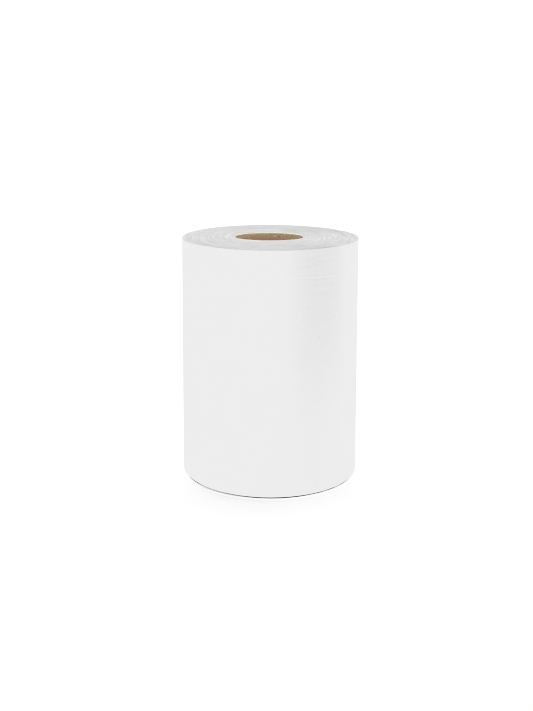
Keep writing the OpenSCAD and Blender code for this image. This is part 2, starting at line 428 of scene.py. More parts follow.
def mat_paper_face():
    t = Tree("paper_face")
    vec = strip_coords(t)
    col, rough, h = face_look(t, vec)
    nor = t.bump(h, 0.010, 0.4)
    # the sheen is uneven: fine grain, slanting drag marks, upright marks of the rollers, a few sharp lines
    sep = t.add("SeparateXYZ", {0: vec})
    u, z = sep.outputs[0], sep.outputs[1]
    slant = t.math("SUBTRACT", z, t.math("MULTIPLY", u, 0.12))
    drag = t.noise(t.vec(t.math("MULTIPLY", u, 0.055), t.math("MULTIPLY", slant, 0.36), 0.0), 1.0, 3.0, 0.6)
    upright = t.noise(t.vec(t.math("MULTIPLY", u, 0.50), t.math("MULTIPLY", z, 0.018), 9.0), 1.0, 2.0, 0.6)
    grain = t.noise(t.vec(t.math("MULTIPLY", u, 0.60), t.math("MULTIPLY", z, 0.85), 2.0), 1.0, 1.0, 0.6)
    k = t.math("MULTIPLY_ADD", t.math("SUBTRACT", grain, 0.5), 0.8, 1.0)
    k = t.math("MULTIPLY_ADD", t.math("SUBTRACT", drag, 0.5), 0.62, k)
    k = t.math("MULTIPLY_ADD", t.math("SUBTRACT", upright, 0.5), 0.30, k)
    per_deg = math.radians(1.0) * HALF2_R
    for zc, ac, half, rise, w, _, amount in LINES:
        du = t.math("SUBTRACT", u, ((ac - EDGE_DEG) % 360.0) * per_deg)
        off = t.math("SUBTRACT", z, t.math("MULTIPLY_ADD", du, rise / per_deg, zc))
        off = t.math("DIVIDE", off, w)
        m = t.math("EXPONENT", t.math("MULTIPLY", t.math("MULTIPLY", off, off), -1.0))
        fade = t.add("MapRange", {"Value": t.math("ABSOLUTE", du), "From Min": half * per_deg,
                                  "From Max": half * 0.45 * per_deg}, interpolation_type="SMOOTHSTEP").outputs[0]
        m = t.math("MULTIPLY", m, t.math("MULTIPLY", fade, t.math("MULTIPLY_ADD", grain, 1.2, 0.4)))
        k = t.math("MULTIPLY_ADD", m, amount, k)
    sheen = t.math("MULTIPLY", t.math("MAXIMUM", k, 0.1), SHEEN)
    # painted light: the face's colour is raised most along its lower edge, a bright halo just above the contact line
    low = t.add("Attribute", attribute_name="from_low_edge", attribute_type="GEOMETRY").outputs["Fac"]
    pale = t.add("MapRange", {"Value": low, "From Min": 0.25, "From Max": 1.10, "To Min": 1.075, "To Max": 1.029},
                 interpolation_type="SMOOTHSTEP").outputs[0]
    col = t.scaled(dusty(t, vec, col), pale)
    base = t.add("BsdfPrincipled", {"Base Color": col, "Roughness": 0.8, "Normal": nor,
                                    "Specular IOR Level": 0.0})
    # its mirror light is as bright as the face itself, so it shows only where it reflects the dark side of the room
    coat = t.add("BsdfGlossy", {"Color": (0.7185, 0.7185, 0.7185, 1), "Roughness": rough, "Normal": nor})
    mx = t.add("MixShader", {0: sheen, 1: base.outputs[0], 2: coat.outputs[0]})
    t.add("OutputMaterial", {"Surface": mx.outputs[0]})
    return t.mat


def mat_paper_ends(name, painted_light_gain=1.0):
    """Cut edges on the ends, smooth face on the walls."""
    t = Tree(name)
    obj = object_mm(t)
    e_col, e_h = edge_look(t, obj)
    if painted_light_gain != 1.0:
        # painted light: the ends of the turns that dip toward the core are made lighter, most at the front and back
        # and most of all at the back, for the light that would pass through the paper beside them
        yy = t.add("SeparateXYZ", {0: obj}).outputs[1]
        ends = t.add("MapRange", {"Value": t.math("ABSOLUTE", yy), "From Min": 6.0, "From Max": 20.0,
                                  "To Min": 1.08, "To Max": painted_light_gain}, interpolation_type="SMOOTHSTEP").outputs[0]
        e_col = t.scaled(e_col, t.math("MULTIPLY_ADD", yy, 0.0015, ends))
    f_col, f_rough, f_h = face_look(t, obj)
    # painted light: the short walls of the steps beside the core are made paler than the face, lifting the shade they
    # lie in
    ex = t.add("SeparateXYZ", {0: obj})
    rad = t.math("SQRT", t.math("ADD", t.math("MULTIPLY", ex.outputs[0], ex.outputs[0]),
                                t.math("MULTIPLY", ex.outputs[1], ex.outputs[1])))
    f_col = t.scaled(f_col, t.math("MULTIPLY_ADD", t.math("LESS_THAN", rad, 40.0), 0.07, 1.0))
    nz = t.add("SeparateXYZ", {0: t.add("NewGeometry").outputs["True Normal"]}).outputs[2]
    end = t.math("SMOOTH_MIN", 1.0, t.math("MULTIPLY", t.math("ABSOLUTE", nz), 1.4), 0.1)
    col = t.mix(end, f_col, e_col)
    rough = t.math("MULTIPLY_ADD", end, 0.45, f_rough, clamp=True)
    h = t.math("ADD", t.math("MULTIPLY", end, e_h),
               t.math("MULTIPLY", t.math("SUBTRACT", 1.0, end), t.math("MULTIPLY", f_h, 0.2)))
    spec = t.math("MULTIPLY_ADD", end, -0.35, 0.5)
    t.out(**{"Base Color": col, "Roughness": rough, "Normal": t.bump(h, 0.10, 0.6),
             "Specular IOR Level": spec})
    return t.mat


def mat_kraft(name, light, dark, speck=0.5, flake=None):
    """Uncoated kraft board: long fibres along the strip, dark and light specks."""
    t = Tree(name)
    vec = strip_coords(t)
    sep = t.add("SeparateXYZ", {0: vec})
    a = math.radians(38)
    along = t.math("ADD", t.math("MULTIPLY", sep.outputs[0], math.cos(a)),
                   t.math("MULTIPLY", sep.outputs[1], math.sin(a)))
    across = t.math("SUBTRACT", t.math("MULTIPLY", sep.outputs[1], math.cos(a)),
                    t.math("MULTIPLY", sep.outputs[0], math.sin(a)))
    fibre = t.noise(t.vec(t.math("MULTIPLY", along, 0.22), t.math("MULTIPLY", across, 1.5), 0.0), 1.0, 4.0, 0.65)
    pulp = t.noise(vec, 0.95, 4.0, 0.75)
    cloud = t.noise(vec, 0.09, 3.0, 0.5)
    lev = t.math("ADD", t.math("MULTIPLY", pulp, 0.65), t.math("MULTIPLY", fibre, 0.35))
    col = t.ramp(lev, [(0.385, dark), (0.505, tuple((a + b) / 2 for a, b in zip(light, dark))), (0.635, light)])
    col = t.scaled(col, t.math("MULTIPLY_ADD", cloud, 0.18, 0.91))
    v1 = t.add("TexVoronoi", {"Vector": vec, "Scale": 0.9, "Randomness": 1.0})
    c1 = t.add("SeparateColor", {0: v1.outputs["Color"]})
    spots = t.math("MULTIPLY", t.math("LESS_THAN", v1.outputs["Distance"], 0.30),
                   t.math("GREATER_THAN", c1.outputs[0], 0.72))
    tone = t.math("MULTIPLY_ADD", c1.outputs[1], 0.7, -0.40)
    col = t.scaled(col, t.math("MULTIPLY_ADD", t.math("MULTIPLY", spots, tone), speck, 1.0))
    # the cut ends show pale torn fibre instead of the ply's face
    nz = t.add("SeparateXYZ", {0: t.add("NewGeometry").outputs["True Normal"]}).outputs[2]
    end = t.add("MapRange", {"Value": t.math("ABSOLUTE", nz), "From Min": 0.55, "From Max": 0.85},
                interpolation_type="SMOOTHSTEP").outputs[0]
    torn = t.ramp(pulp, [(0.35, (0.53, 0.405, 0.235)), (0.65, (0.69, 0.56, 0.355))])
    clean = t.ramp(pulp, [(0.35, (0.255, 0.168, 0.080)), (0.65, (0.355, 0.245, 0.125))])
    ox = t.add("SeparateXYZ", {0: object_mm(t)})
    rad = t.math("SQRT", t.math("ADD", t.math("MULTIPLY", ox.outputs[0], ox.outputs[0]),
                                t.math("MULTIPLY", ox.outputs[1], ox.outputs[1])))
    # most torn at the front and back and along the outer rim
    where = t.add("MapRange", {"Value": t.math("DIVIDE", t.math("ABSOLUTE", ox.outputs[1]), rad), "From Min": 0.50,
                               "From Max": 0.92, "To Min": 0.10, "To Max": 1.0}, interpolation_type="SMOOTHSTEP"
                  ).outputs[0]
    rim = t.add("MapRange", {"Value": rad, "From Min": CORE_R - 0.65, "From Max": CORE_R - 0.25, "To Min": 0.0,
                             "To Max": 0.85}).outputs[0]
    col = t.mix(end, col, t.mix(t.math("MAXIMUM", where, rim), clean, torn))
    # less light reaches down the bore
    zmm = t.add("SeparateXYZ", {0: object_mm(t)}).outputs[2]
    deep = t.add("MapRange", {"Value": t.math("ABSOLUTE", t.math("SUBTRACT", zmm, 100.0)), "From Min": 99.5,
                              "From Max": 86.0, "To Min": 0.0, "To Max": 1.0}).outputs[0]
    col = t.mix(deep, col, (0.625, 0.585, 0.545), "MULTIPLY")
    if flake:
        # one light fibre flake: centre (along the strip, across it), half length, half width, slope
        fx, fy, hl, hw, slope = flake
        dx, dy = t.math("SUBTRACT", sep.outputs[0], fx), t.math("SUBTRACT", sep.outputs[1], fy)
        u = t.math("ADD", t.math("MULTIPLY", dx, math.cos(slope)), t.math("MULTIPLY", dy, math.sin(slope)))
        v = t.math("SUBTRACT", t.math("MULTIPLY", dy, math.cos(slope)), t.math("MULTIPLY", dx, math.sin(slope)))
        q = t.math("ADD", t.math("POWER", t.math("ABSOLUTE", t.math("DIVIDE", u, hl)), 2.0),
                   t.math("POWER", t.math("ABSOLUTE", t.math("DIVIDE", v, hw)), 2.0))
        m = t.math("MULTIPLY", t.math("SUBTRACT", 1.0, q), 1.5, clamp=True)
        col = t.mix(t.math("MULTIPLY", m, 0.85), col, (0.84, 0.70, 0.49))
    h = t.math("MULTIPLY_ADD", fibre, 0.5, t.math("MULTIPLY", pulp, 0.5))
    rough = t.math("MULTIPLY_ADD", pulp, 0.15, 0.80)
    t.out(**{"Base Color": col, "Roughness": rough, "Normal": t.bump(h, 0.12, 0.7),
             "Specular IOR Level": 0.2})
    return t.mat


def mat_glue():
    t = Tree("dried_adhesive")
    vec = object_mm(t)
    n = t.noise(vec, 0.8, 3.0, 0.6)
    col = t.ramp(n, [(0.3, (0.72, 0.64, 0.46)), (0.7, (0.86, 0.81, 0.66))])
    t.out(**{"Base Color": col, "Roughness": t.math("MULTIPLY_ADD", n, 0.25, 0.22),
             "Normal": t.bump(t.noise(vec, 1.6, 2.0, 0.5), 0.05, 0.6),
             "Subsurface Weight": 0.15, "Subsurface Radius": (0.001, 0.0008, 0.0005),
             "Subsurface Scale": 0.5})
    return t.mat


# ---------------------------------------------------------------------------
# Core: six helical plies, each a strip whose two edges meet at a narrow seam
# ---------------------------------------------------------------------------
LEAD = 128.0        # advance of the seam for one turn round the core


def rim_rise(th):
    """The core's upper cut is out of square: how far it stands above the CAD's level end, in mm."""
    s = np.sin(th)
    return 0.70 - 0.80 * np.maximum(s, 0.0) + 0.98 * np.maximum(-s, 0.0)


def core_ply(name, r_in, r_out, seam_deg, cols, rows, top, bottom, seed, gap_mm=0.35):
    gap = gap_mm / r_in
    u = np.linspace(0.0, 2 * math.pi - gap, cols)
    edge = np.array([0.0, 0.12, 0.5])
    z = np.concatenate([CZ0 + edge, np.linspace(CZ0 + 1.5, CZ1 - 1.5, rows), CZ1 - edge[::-1]])
    U, Z = np.meshgrid(u, z, indexing="ij")
    TH = U + math.radians(seam_deg) + 2 * math.pi * Z / LEAD
    rng = np.random.default_rng(seed)
    wob = waves(seed, 14, (20, 90), 3)(Z, TH)
    # cut ends: slightly raised or set back, and a little furred
    furr = waves(seed + 50, 20, (3, 9), 9, 0.0)(np.full_like(TH[:, :1], 1.0), TH[:, :1])
    zt = CZ1 + rim_rise(TH) - top * (1.0 + 0.35 * furr)
    zb = CZ0 + bottom * (1.0 + 0.35 * furr)
    s = (Z - CZ0) / (CZ1 - CZ0)
    ZZ = zb + (zt - zb) * s
    # rounded cut: the first and last rows draw in by a few hundredths
    ease = 0.05 * np.exp(-np.minimum(Z - CZ0, CZ1 - Z) / 0.10)
    ro = r_out - 0.015 - ease
    ri = r_in + 0.005 + ease + 0.012 * (wob - wob.min()) / max(np.ptp(wob), 1e-9)
    # the strip's edges lift a touch beside the seam
    lift = 0.035 * (np.exp(-U / 0.05) + np.exp(-(u[-1] - U) / 0.05)) if r_in == BORE_R else 0.0
    ri = ri + lift
    outer = np.stack([ro * np.cos(TH), ro * np.sin(TH), ZZ], -1)
    inner = np.stack([ri * np.cos(TH), ri * np.sin(TH), ZZ], -1)
    coords = np.stack([U * r_in, Z + U * 0, np.full_like(U, seed * 10.0)], -1)
    return sheet_solid(name, outer, inner, coords)


core_mats = {
    "core_liner_ply": mat_kraft("kraft_liner", (0.81, 0.60, 0.37), (0.35, 0.24, 0.125), 1.1,
                                (18.8, 197.8, 1.25, 0.60, -0.424)),
    "core_face_ply": mat_kraft("kraft_face", (0.46, 0.335, 0.205), (0.33, 0.235, 0.14), 0.5),
}
for k in range(1, 5):
    core_mats["core_body_ply_%d" % k] = mat_kraft(
        "core_board_%d" % k, (0.44 - 0.01 * (k % 2), 0.325, 0.205), (0.32, 0.23, 0.14 + 0.005 * k), 0.6)

plies = []
for k, node in enumerate(PLIES):
    liner = k == 0
    ob = core_ply("core_" + ["liner", "body_1", "body_2", "body_3", "body_4", "face"][k],
                  PLY_R[k], PLY_R[k + 1], 200.0 + 67.0 * k, 180 if liner else 120, 190 if liner else 96,
                  [0.05, 0.10, 0.04, 0.12, 0.07, 0.03][k], [0.05, 0.08, 0.11, 0.05, 0.09, 0.04][k], 100 + k)
    ob.data.materials.append(core_mats[node])
    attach(ob, "roll")
    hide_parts(node)
    plies.append(ob)

# ---------------------------------------------------------------------------
# Relief of the paper's cut ends
# ---------------------------------------------------------------------------
_slow = waves(11, 26, (9, 30), 2)
_band = waves(12, 60, (1.8, 6.5), 4, 0.7)
_tight = waves(13, 60, (1.0, 2.2), 5, 0.3)
_slow_b = waves(21, 26, (9, 30), 2)
_band_b = waves(22, 60, (1.8, 6.5), 4, 0.7)


def end_relief(r, th, top=True):
    s, b = (_slow, _band) if top else (_slow_b, _band_b)
    h = 0.055 * s(r, th) + 0.050 * b(r, th)
    if top:
        h = h + 0.012 * _tight(r, th)
    return h


# ---------------------------------------------------------------------------
# First turns: seven turns that stand proud, each with its own edge height
# ---------------------------------------------------------------------------
def first_turns():
    n = 256
    th = np.linspace(0, 2 * math.pi, n, endpoint=False)
    turns = int(round((FIRST_R - CORE_R) / PAPER))
    prof = []        # (radius, level, which end, turn)
    f = waves(31, 12, (3, 9), 3, 0.0)
    inner, outer = CORE_R + 0.004, FIRST_R - 0.004

    def height(kk, ang):
        base = [0.0, -0.03, 0.0, -0.05, -0.03, -0.08, -0.10][kk % 7]
        return base + 0.03 * f(np.full_like(ang, 4.0 * kk), ang)

    def top_z(kk, ang):
        # the turns follow the core's slanting end: proud at the front, dished at the back
        s = np.sin(ang)
        w = 1.0 - 0.75 * kk / (turns - 1)
        z = Z1 + w * (1.30 * np.maximum(-s, 0.0) - 0.72 * np.maximum(s, 0.0)) + 0.5 * height(kk, ang)
        return np.minimum(z, LIP1 + 0.16)

    def low_z(kk, ang):
        return np.maximum(LIP0 - height(kk, ang), LIP0)
    rows = []
    for kk in range(turns):
        a, b = inner + (outer - inner) * kk / turns, inner + (outer - inner) * (kk + 1) / turns
        g = 0.022
        h = top_z(kk, th)
        rows.append((np.full(n, a + 0.004), h - g * 1.6))
        rows.append((np.full(n, a + g), h))
        rows.append((np.full(n, b - g), h))
        rows.append((np.full(n, b - 0.004), h - g * 1.6))
    for zz in np.linspace(Z1 - 1.6, LIP0 + 0.6, 24):
        rows.append((np.full(n, outer), np.full(n, zz)))
    for kk in reversed(range(turns)):
        a, b = inner + (outer - inner) * kk / turns, inner + (outer - inner) * (kk + 1) / turns
        g = 0.022
        h = low_z(kk, th)
        rows.append((np.full(n, b - 0.004), h + g * 1.6))
        rows.append((np.full(n, b - g), h))
        rows.append((np.full(n, a + g), h))
        rows.append((np.full(n, a + 0.004), h + g * 1.6))
    for zz in np.linspace(LIP0 + 0.6, Z1 - 1.6, 24):
        rows.append((np.full(n, inner), np.full(n, zz)))
    R = np.stack([q[0] for q in rows], 1)
    Z = np.stack([q[1] for q in rows], 1)
    T = np.repeat(th[:, None], R.shape[1], 1)
    # the turns aren't quite round
    R = R + 0.02 * np.cos(3 * T + 1.0) * smoothstep(Z1 - 8, Z1, Z)
    P = np.stack([R * np.cos(T), R * np.sin(T), Z], -1)
    return ring_solid("first_turns", P)


lip = first_turns()
ends_mat = mat_paper_ends("paper_cut_edges")
lip_mat = mat_paper_ends("paper_lip", 1.30)
lip.data.materials.append(lip_mat)
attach(lip, "roll")
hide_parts("first_turns_of_paper")


# ---------------------------------------------------------------------------
# Wound paper: relief on both ends, smooth wall under the tail
# ---------------------------------------------------------------------------
# height of the lower edge of the outer turns above the floor, round the roll: (degrees from the front, mm)
LOW_EDGE = [(-180, 0.70), (-140, 0.85), (-105, 1.80), (-90, 2.10), (-63, 2.10), (-59, 1.95), (-55, 1.77), (-50, 1.60),
            (-45, 1.43), (-40, 1.29), (-36, 1.20), (-32, 1.14), (-28, 1.06), (-25, 0.99), (-18, 0.87), (-12, 0.75),
            (-5, 0.65), (1, 0.63), (14, 0.63), (20, 0.65), (27, 0.73), (34, 0.79), (39, 0.88), (44, 0.95),
            (50, 0.98), (55, 1.02), (58, 1.12), (62, 1.22), (75, 1.22), (100, 0.95), (140, 0.72), (180, 0.70)]
# outer limit of the painted shadow under the roll: (degrees from the front, mm)
SHADOW_RIM = [(-180, 73.5), (-110, 73.0), (-80, 72.0), (-50, 72.1), (-45, 72.28), (-36, 72.50), (-32, 72.73), (-28, 72.97),
            (-18, 73.36), (-12, 73.64), (-5, 73.86), (1, 74.05), (7, 74.08), (14, 74.0), (20, 73.83), (27, 73.45),
            (34, 73.42), (39, 73.12), (43, 73.0), (57, 72.88), (62, 72.7), (80, 72.7), (110, 73.2), (180, 73.5)]


def low_edge(th):
    """Height of the lower edge of the outermost turns, in mm, at a world angle in radians."""
    az = (np.degrees(th) + 270.0) % 360.0 - 180.0        # 0 at the front, positive to the right
    x, y = zip(*LOW_EDGE)
    return np.interp(az, x, y)


def swell(z):
    """The turns lie a little looser toward the lower end: extra radius, in mm."""
    return 0.09 + 0.25 * np.clip(1.0 - np.asarray(z, float) / Z1, 0.0, 1.0) ** 0.8


def wound():
    n = 360
    a = np.concatenate([np.linspace(0.0, 359.0, n - 1), [359.85]])
    r_in = FIRST_R + 0.002
    k = 104
    f = np.linspace(0.0, 1.0, k)

    def spread(z):
        """Radii and angles of an end's points, from the bore of the web out to its last turn."""
        ox, oy = winding_point(a, -0.002 + swell(z))
        r = np.hypot(ox, oy)
        return (r_in + (r[:, None] - r_in) * f[None, :], np.repeat(np.arctan2(oy, ox)[:, None], k, 1), r[:, None])
    Rt, TH, edge = spread(Z1)
    near_out = smoothstep(0.0, 2.2, edge - Rt)
    near_in = smoothstep(0.0, 1.5, Rt - r_in)
    zt = Z1 + end_relief(Rt, TH) * (0.25 + 0.75 * near_out) * (0.4 + 0.6 * near_in)
    zt = np.minimum(zt, Z1 + 0.35)
    top = np.stack([Rt * np.cos(TH), Rt * np.sin(TH), zt], -1)
    Rt, TH, edge = spread(Z0)
    zb = np.maximum(Z0 + 0.10 - end_relief(Rt, TH, False), Z0)
    zb = zb + (low_edge(TH) - Z0) * (1 - smoothstep(0.0, 3.0, edge - Rt))
    bot = np.stack([Rt * np.cos(TH), Rt * np.sin(TH), zb], -1)[:, ::-1]
    zs = np.linspace(0.0, 1.0, 26)[1:-1]
    wall_out = []
    for s in zs[::-1]:
        z = bot[:, 0, 2] + (top[:, -1, 2] - bot[:, 0, 2]) * s
        wall_out.append(np.stack([*winding_point(a, -0.002 + swell(z)), z], -1))
    wall_in = []
    for s in zs:
        z = bot[:, -1, 2] + (top[:, 0, 2] - bot[:, -1, 2]) * s
        th = TH[:, 0]
        wall_in.append(np.stack([np.full(n, r_in) * np.cos(th), np.full(n, r_in) * np.sin(th), z], -1))
    P = np.concatenate([top, np.stack(wall_out, 1), bot, np.stack(wall_in, 1)], 1)
    return ring_solid("wound_web", P, sharp_deg=50.0)


web = wound()
web.data.materials.append(ends_mat)
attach(web, "roll")
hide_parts("wound_paper")

# ---------------------------------------------------------------------------
# Last turn and tail: one continuous sheet, split where the tail lifts
# ---------------------------------------------------------------------------
_soft = waves(41, 24, (45, 160), 5)
_ripple = waves(42, 40, (5, 14), 6, 0.6)
_ripple2 = waves(43, 40, (2.2, 5.0), 8, 0.4)

_rng = np.random.default_rng(5)
RIDGES = list(LINES)
for _ in range(26):
    RIDGES.append((_rng.uniform(60, 196), _rng.uniform(-20, 230), _rng.uniform(6, 26),
                   _rng.uniform(-0.06, 0.06), _rng.uniform(0.35, 0.7), _rng.uniform(-0.015, 0.022), 0.0))


def undulation(world_deg, z):
    """Outward displacement of the outer sheet, in mm, at a world angle and height."""
    ang = np.radians(world_deg)
    upper = 0.30 + 0.70 * smoothstep(110, 175, z)
    h = 0.030 * _soft(z, ang) + (0.0085 * _ripple(z, ang) + 0.0022 * _ripple2(z, ang)) * upper
    for zc, ac, half, rise, w, amp, _ in RIDGES:
        d = (world_deg - ac + 180.0) % 360.0 - 180.0
        fade = smoothstep(half, half * 0.45, np.abs(d))
        h = h + amp * fade * np.exp(-((z - zc - rise * d) / w) ** 2)
    return np.clip(h, -0.12, 0.12)


def rows_of_sheet():
    fine = np.arange(Z1 - 42.0, Z1 - 0.5, 0.42)
    mid = np.arange(100.0, Z1 - 42.0, 1.1)
    coarse = np.arange(6.0, 100.0, 2.2)
    low = Z0 + np.array([0.0, 0.12, 0.35, 0.8, 1.6, 3.0])
    z = np.concatenate([low, coarse, mid, fine, [Z1 - 0.30, Z1 - 0.10, Z1]])
    return np.unique(z)


def sheet(name, a0, a1, step_deg, inner_off, free_edge):
    a = np.linspace(a0, a1, int(round((a1 - a0) / step_deg)) + 1)
    z = rows_of_sheet()
    A, Z = np.meshgrid(a, z, indexing="ij")
    W = A + EDGE_DEG
    u = undulation(W, Z)
    # edges of the sheet: the corner is worn round over a few hundredths
    corner = 0.04 * (np.exp(-(Z - Z0) / 0.10) + np.exp(-(Z1 - Z) / 0.08))
    ox, oy = winding_point(A, PAPER - corner + u + swell(Z))
    ix, iy = winding_point(A, inner_off + np.clip(u, 0.0, 0.03) * 0.2 + swell(Z))
    low = low_edge(np.radians(W))
    ZZ = low + (Z1 + 0.03 * np.cos(np.radians(3 * W + 20)) - 0.02 - low) * (Z - Z0) / (Z1 - Z0)
    outer = np.stack([ox, oy, ZZ], -1)
    inner = np.stack([ix, iy, ZZ], -1)
    coords = np.stack([np.radians(A) * HALF2_R, ZZ, np.zeros_like(Z)], -1)
    ob = sheet_solid(name, outer, inner, coords, 40.0)
    att = ob.data.attributes.new("from_low_edge", "FLOAT", "POINT")
    att.data.foreach_set("value", np.tile((ZZ - low).reshape(-1), 2).astype(np.float32))
    return ob


face_mat = mat_paper_face()
last = sheet("last_turn", 0.0, 360.0 - ARC_DEG, 2.0, 0.002, False)
last.data.materials.append(face_mat)
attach(last, "roll")
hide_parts("last_turn_of_paper")

tail = sheet("tail", 360.0 - ARC_DEG, 360.0, 1.0, 0.045, True)
tail.data.materials.append(face_mat)
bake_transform(tail)
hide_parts("tail_flap")

# ---------------------------------------------------------------------------
# Adhesive: pick-up strip on the core and dabs under the tail
# ---------------------------------------------------------------------------
glue_mat = mat_glue()


def pickup():
    lo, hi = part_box("pickup_glue")
    z0, z1 = lo.z / MM, hi.z / MM
    half = hi.x / MM
    z = np.linspace(z0, z1, 150)
    rng = waves(61, 16, (9, 40), 0)
    wl, wr = rng(z, 0.0), rng(z + 333.0, 0.0)
    v = np.linspace(-1, 1, 21)
    V, Z = np.meshgrid(v, z, indexing="ij")
    left, right = -half * (0.90 + 0.05 * wl), half * (0.90 + 0.05 * wr)
    arc = (left + (right - left) * (V + 1) / 2) / CORE_R
    t_mm = 0.14 * (1 - np.abs(V) ** 6) * (0.85 + 0.15 * np.cos(V * 9 + Z / 11.0)) + 0.006
    ang = math.pi / 2 - arc
    o, i = CORE_R + 0.004 + t_mm, np.full_like(t_mm, CORE_R + 0.003)
    outer = np.stack([o * np.cos(ang), o * np.sin(ang), Z], -1)
    inner = np.stack([i * np.cos(ang), i * np.sin(ang), Z], -1)
    return sheet_solid("pickup_strip", outer, inner)


def dabs():
    """Five dabs of tack, pressed flat, with uneven edges."""
    lo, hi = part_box("tail_tack")
    co = np.array([v.co for v in NODES["tail_tack"].data.vertices], float) / MM
    ang = np.degrees(np.arctan2(co[:, 1], co[:, 0] - OFF_AXIS)) - EDGE_DEG
    ang = np.where(ang < 0, ang + 360.0, ang)
    mid = float((ang.min() + ang.max()) / 2)
    zs = np.sort(np.unique(np.round(co[:, 2], 2)))
    groups = np.split(zs, np.where(np.diff(zs) > 20.0)[0] + 1)
    obs = []
    for q, g in enumerate(groups):
        zc, hz = (g[0] + g[-1]) / 2, (g[-1] - g[0]) / 2
        rng = np.random.default_rng(70 + q)
        ph, am = rng.uniform(0, 6.28, 6), rng.uniform(0.4, 1.0, 6)
        rho = np.linspace(0.06, 1.0, 9)
        phi = np.linspace(0, 2 * math.pi, 56, endpoint=False)
        PHI, RHO = np.meshgrid(phi, rho, indexing="ij")
        wob = 1 + sum(0.028 * A * np.cos((j + 2) * PHI + P) for j, (A, P) in enumerate(zip(am, ph))) - 0.10
        sup = 1 / (np.abs(np.cos(PHI)) ** 4 + np.abs(np.sin(PHI)) ** 4) ** 0.25
        x = 2.5 * RHO * np.cos(PHI) * wob * sup
        y = hz * RHO * np.sin(PHI) * wob * sup
        t_mm = 0.035 * (1 - RHO ** 8) + 0.003
        A_deg = mid + np.degrees(x / HALF2_R)
        ox, oy = winding_point(A_deg, t_mm + swell(zc + y))
        ix, iy = winding_point(A_deg, -0.03 + swell(zc + y))
        n, m = PHI.shape
        top = np.stack([ox, oy, zc + y], -1)
        bot = np.stack([ix, iy, zc + y], -1)
        co_all = np.concatenate([top.reshape(-1, 3), bot.reshape(-1, 3)])
        o = np.arange(n * m).reshape(n, m)
        b = o + n * m
        o2, b2 = np.roll(o, -1, 0), np.roll(b, -1, 0)
        quads = [np.stack([o[:, :-1], o2[:, :-1], o2[:, 1:], o[:, 1:]], -1).reshape(-1, 4),
                 np.stack([b[:, :-1], b[:, 1:], b2[:, 1:], b2[:, :-1]], -1).reshape(-1, 4),
                 np.stack([o[:, -1], o2[:, -1], b2[:, -1], b[:, -1]], -1),
                 np.stack([o[:, 0], b[:, 0], b2[:, 0], o2[:, 0]], -1)]
        obs.append((co_all, np.concatenate(quads)))
    co, quads, base = [], [], 0
    for c, f in obs:
        co.append(c)
        quads.append(f + base)
        base += len(c)
    return make_mesh("tack_dabs", np.concatenate(co), np.concatenate(quads), None, 50.0)


strip = pickup()
strip.data.materials.append(glue_mat)
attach(strip, "roll")
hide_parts("pickup_glue")
tack = dabs()
tack.data.materials.append(glue_mat)
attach(tack, "roll")
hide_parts("tail_tack")

# ---------------------------------------------------------------------------
# Stage: pale floor, white surroundings, soft light
# ---------------------------------------------------------------------------
FLOOR_ALBEDO = 0.893
SKY = 1.19


def dark_sector(t, x, y, turn=None):
    """1 toward the dark side of the room, to the right of the camera, 0 elsewhere, from a direction."""
    ang = t.math("ARCTAN2", x, t.math("MULTIPLY", y, -1.0))
    deg = t.math("MULTIPLY_ADD", ang, 180 / math.pi, 0.0)
    if turn is not None:
        deg = t.math("ADD", deg, turn)

    def ramp(a, b, v0=0.0, v1=1.0):
        return t.add("MapRange", {"Value": deg, "From Min": a, "From Max": b, "To Min": v0, "To Max": v1},
                     interpolation_type="SMOOTHSTEP").outputs[0]
    return t.math("MULTIPLY", t.math("MULTIPLY", ramp(14.0, 56.0), ramp(88.0, 112.0, 1.0, 0.0)),
                  ramp(60.0, 90.0, 1.0, 0.8))


